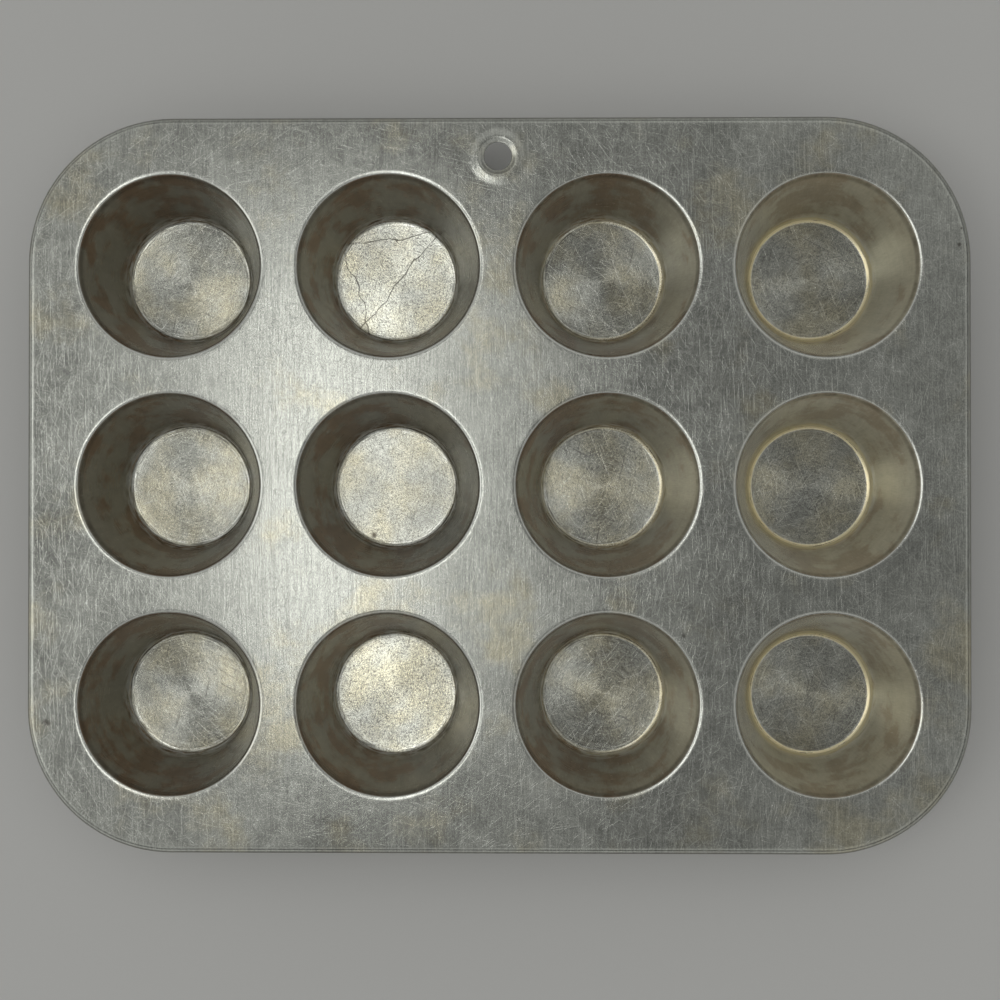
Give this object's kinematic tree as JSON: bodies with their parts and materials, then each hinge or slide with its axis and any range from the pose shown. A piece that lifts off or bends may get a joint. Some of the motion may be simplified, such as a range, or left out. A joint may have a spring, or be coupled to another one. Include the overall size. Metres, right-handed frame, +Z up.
{
  "type": "mini muffin pan",
  "caption": "Flat pan of small tapered cups for baking muffins, pressed from one aluminium sheet, with a rim rolled over a wire and a hang hole.",
  "frame": {"origin": "under the middle of the pan, on the plane that the cup floors stand on", "axes": "+X along the pan's length, +Y towards the long side with the hang hole, +Z up out of the cups"},
  "size_m": [0.2604, 0.2032, 0.0298],
  "materials": {
    "pan_aluminium": "satin, scratched and stained by use",
    "wire_steel": "dull tinned"
  },
  "bodies": {
    "root": {"pan_sheet": "pan_aluminium", "rim_wire": "wire_steel"}
  },
  "joints": []
}
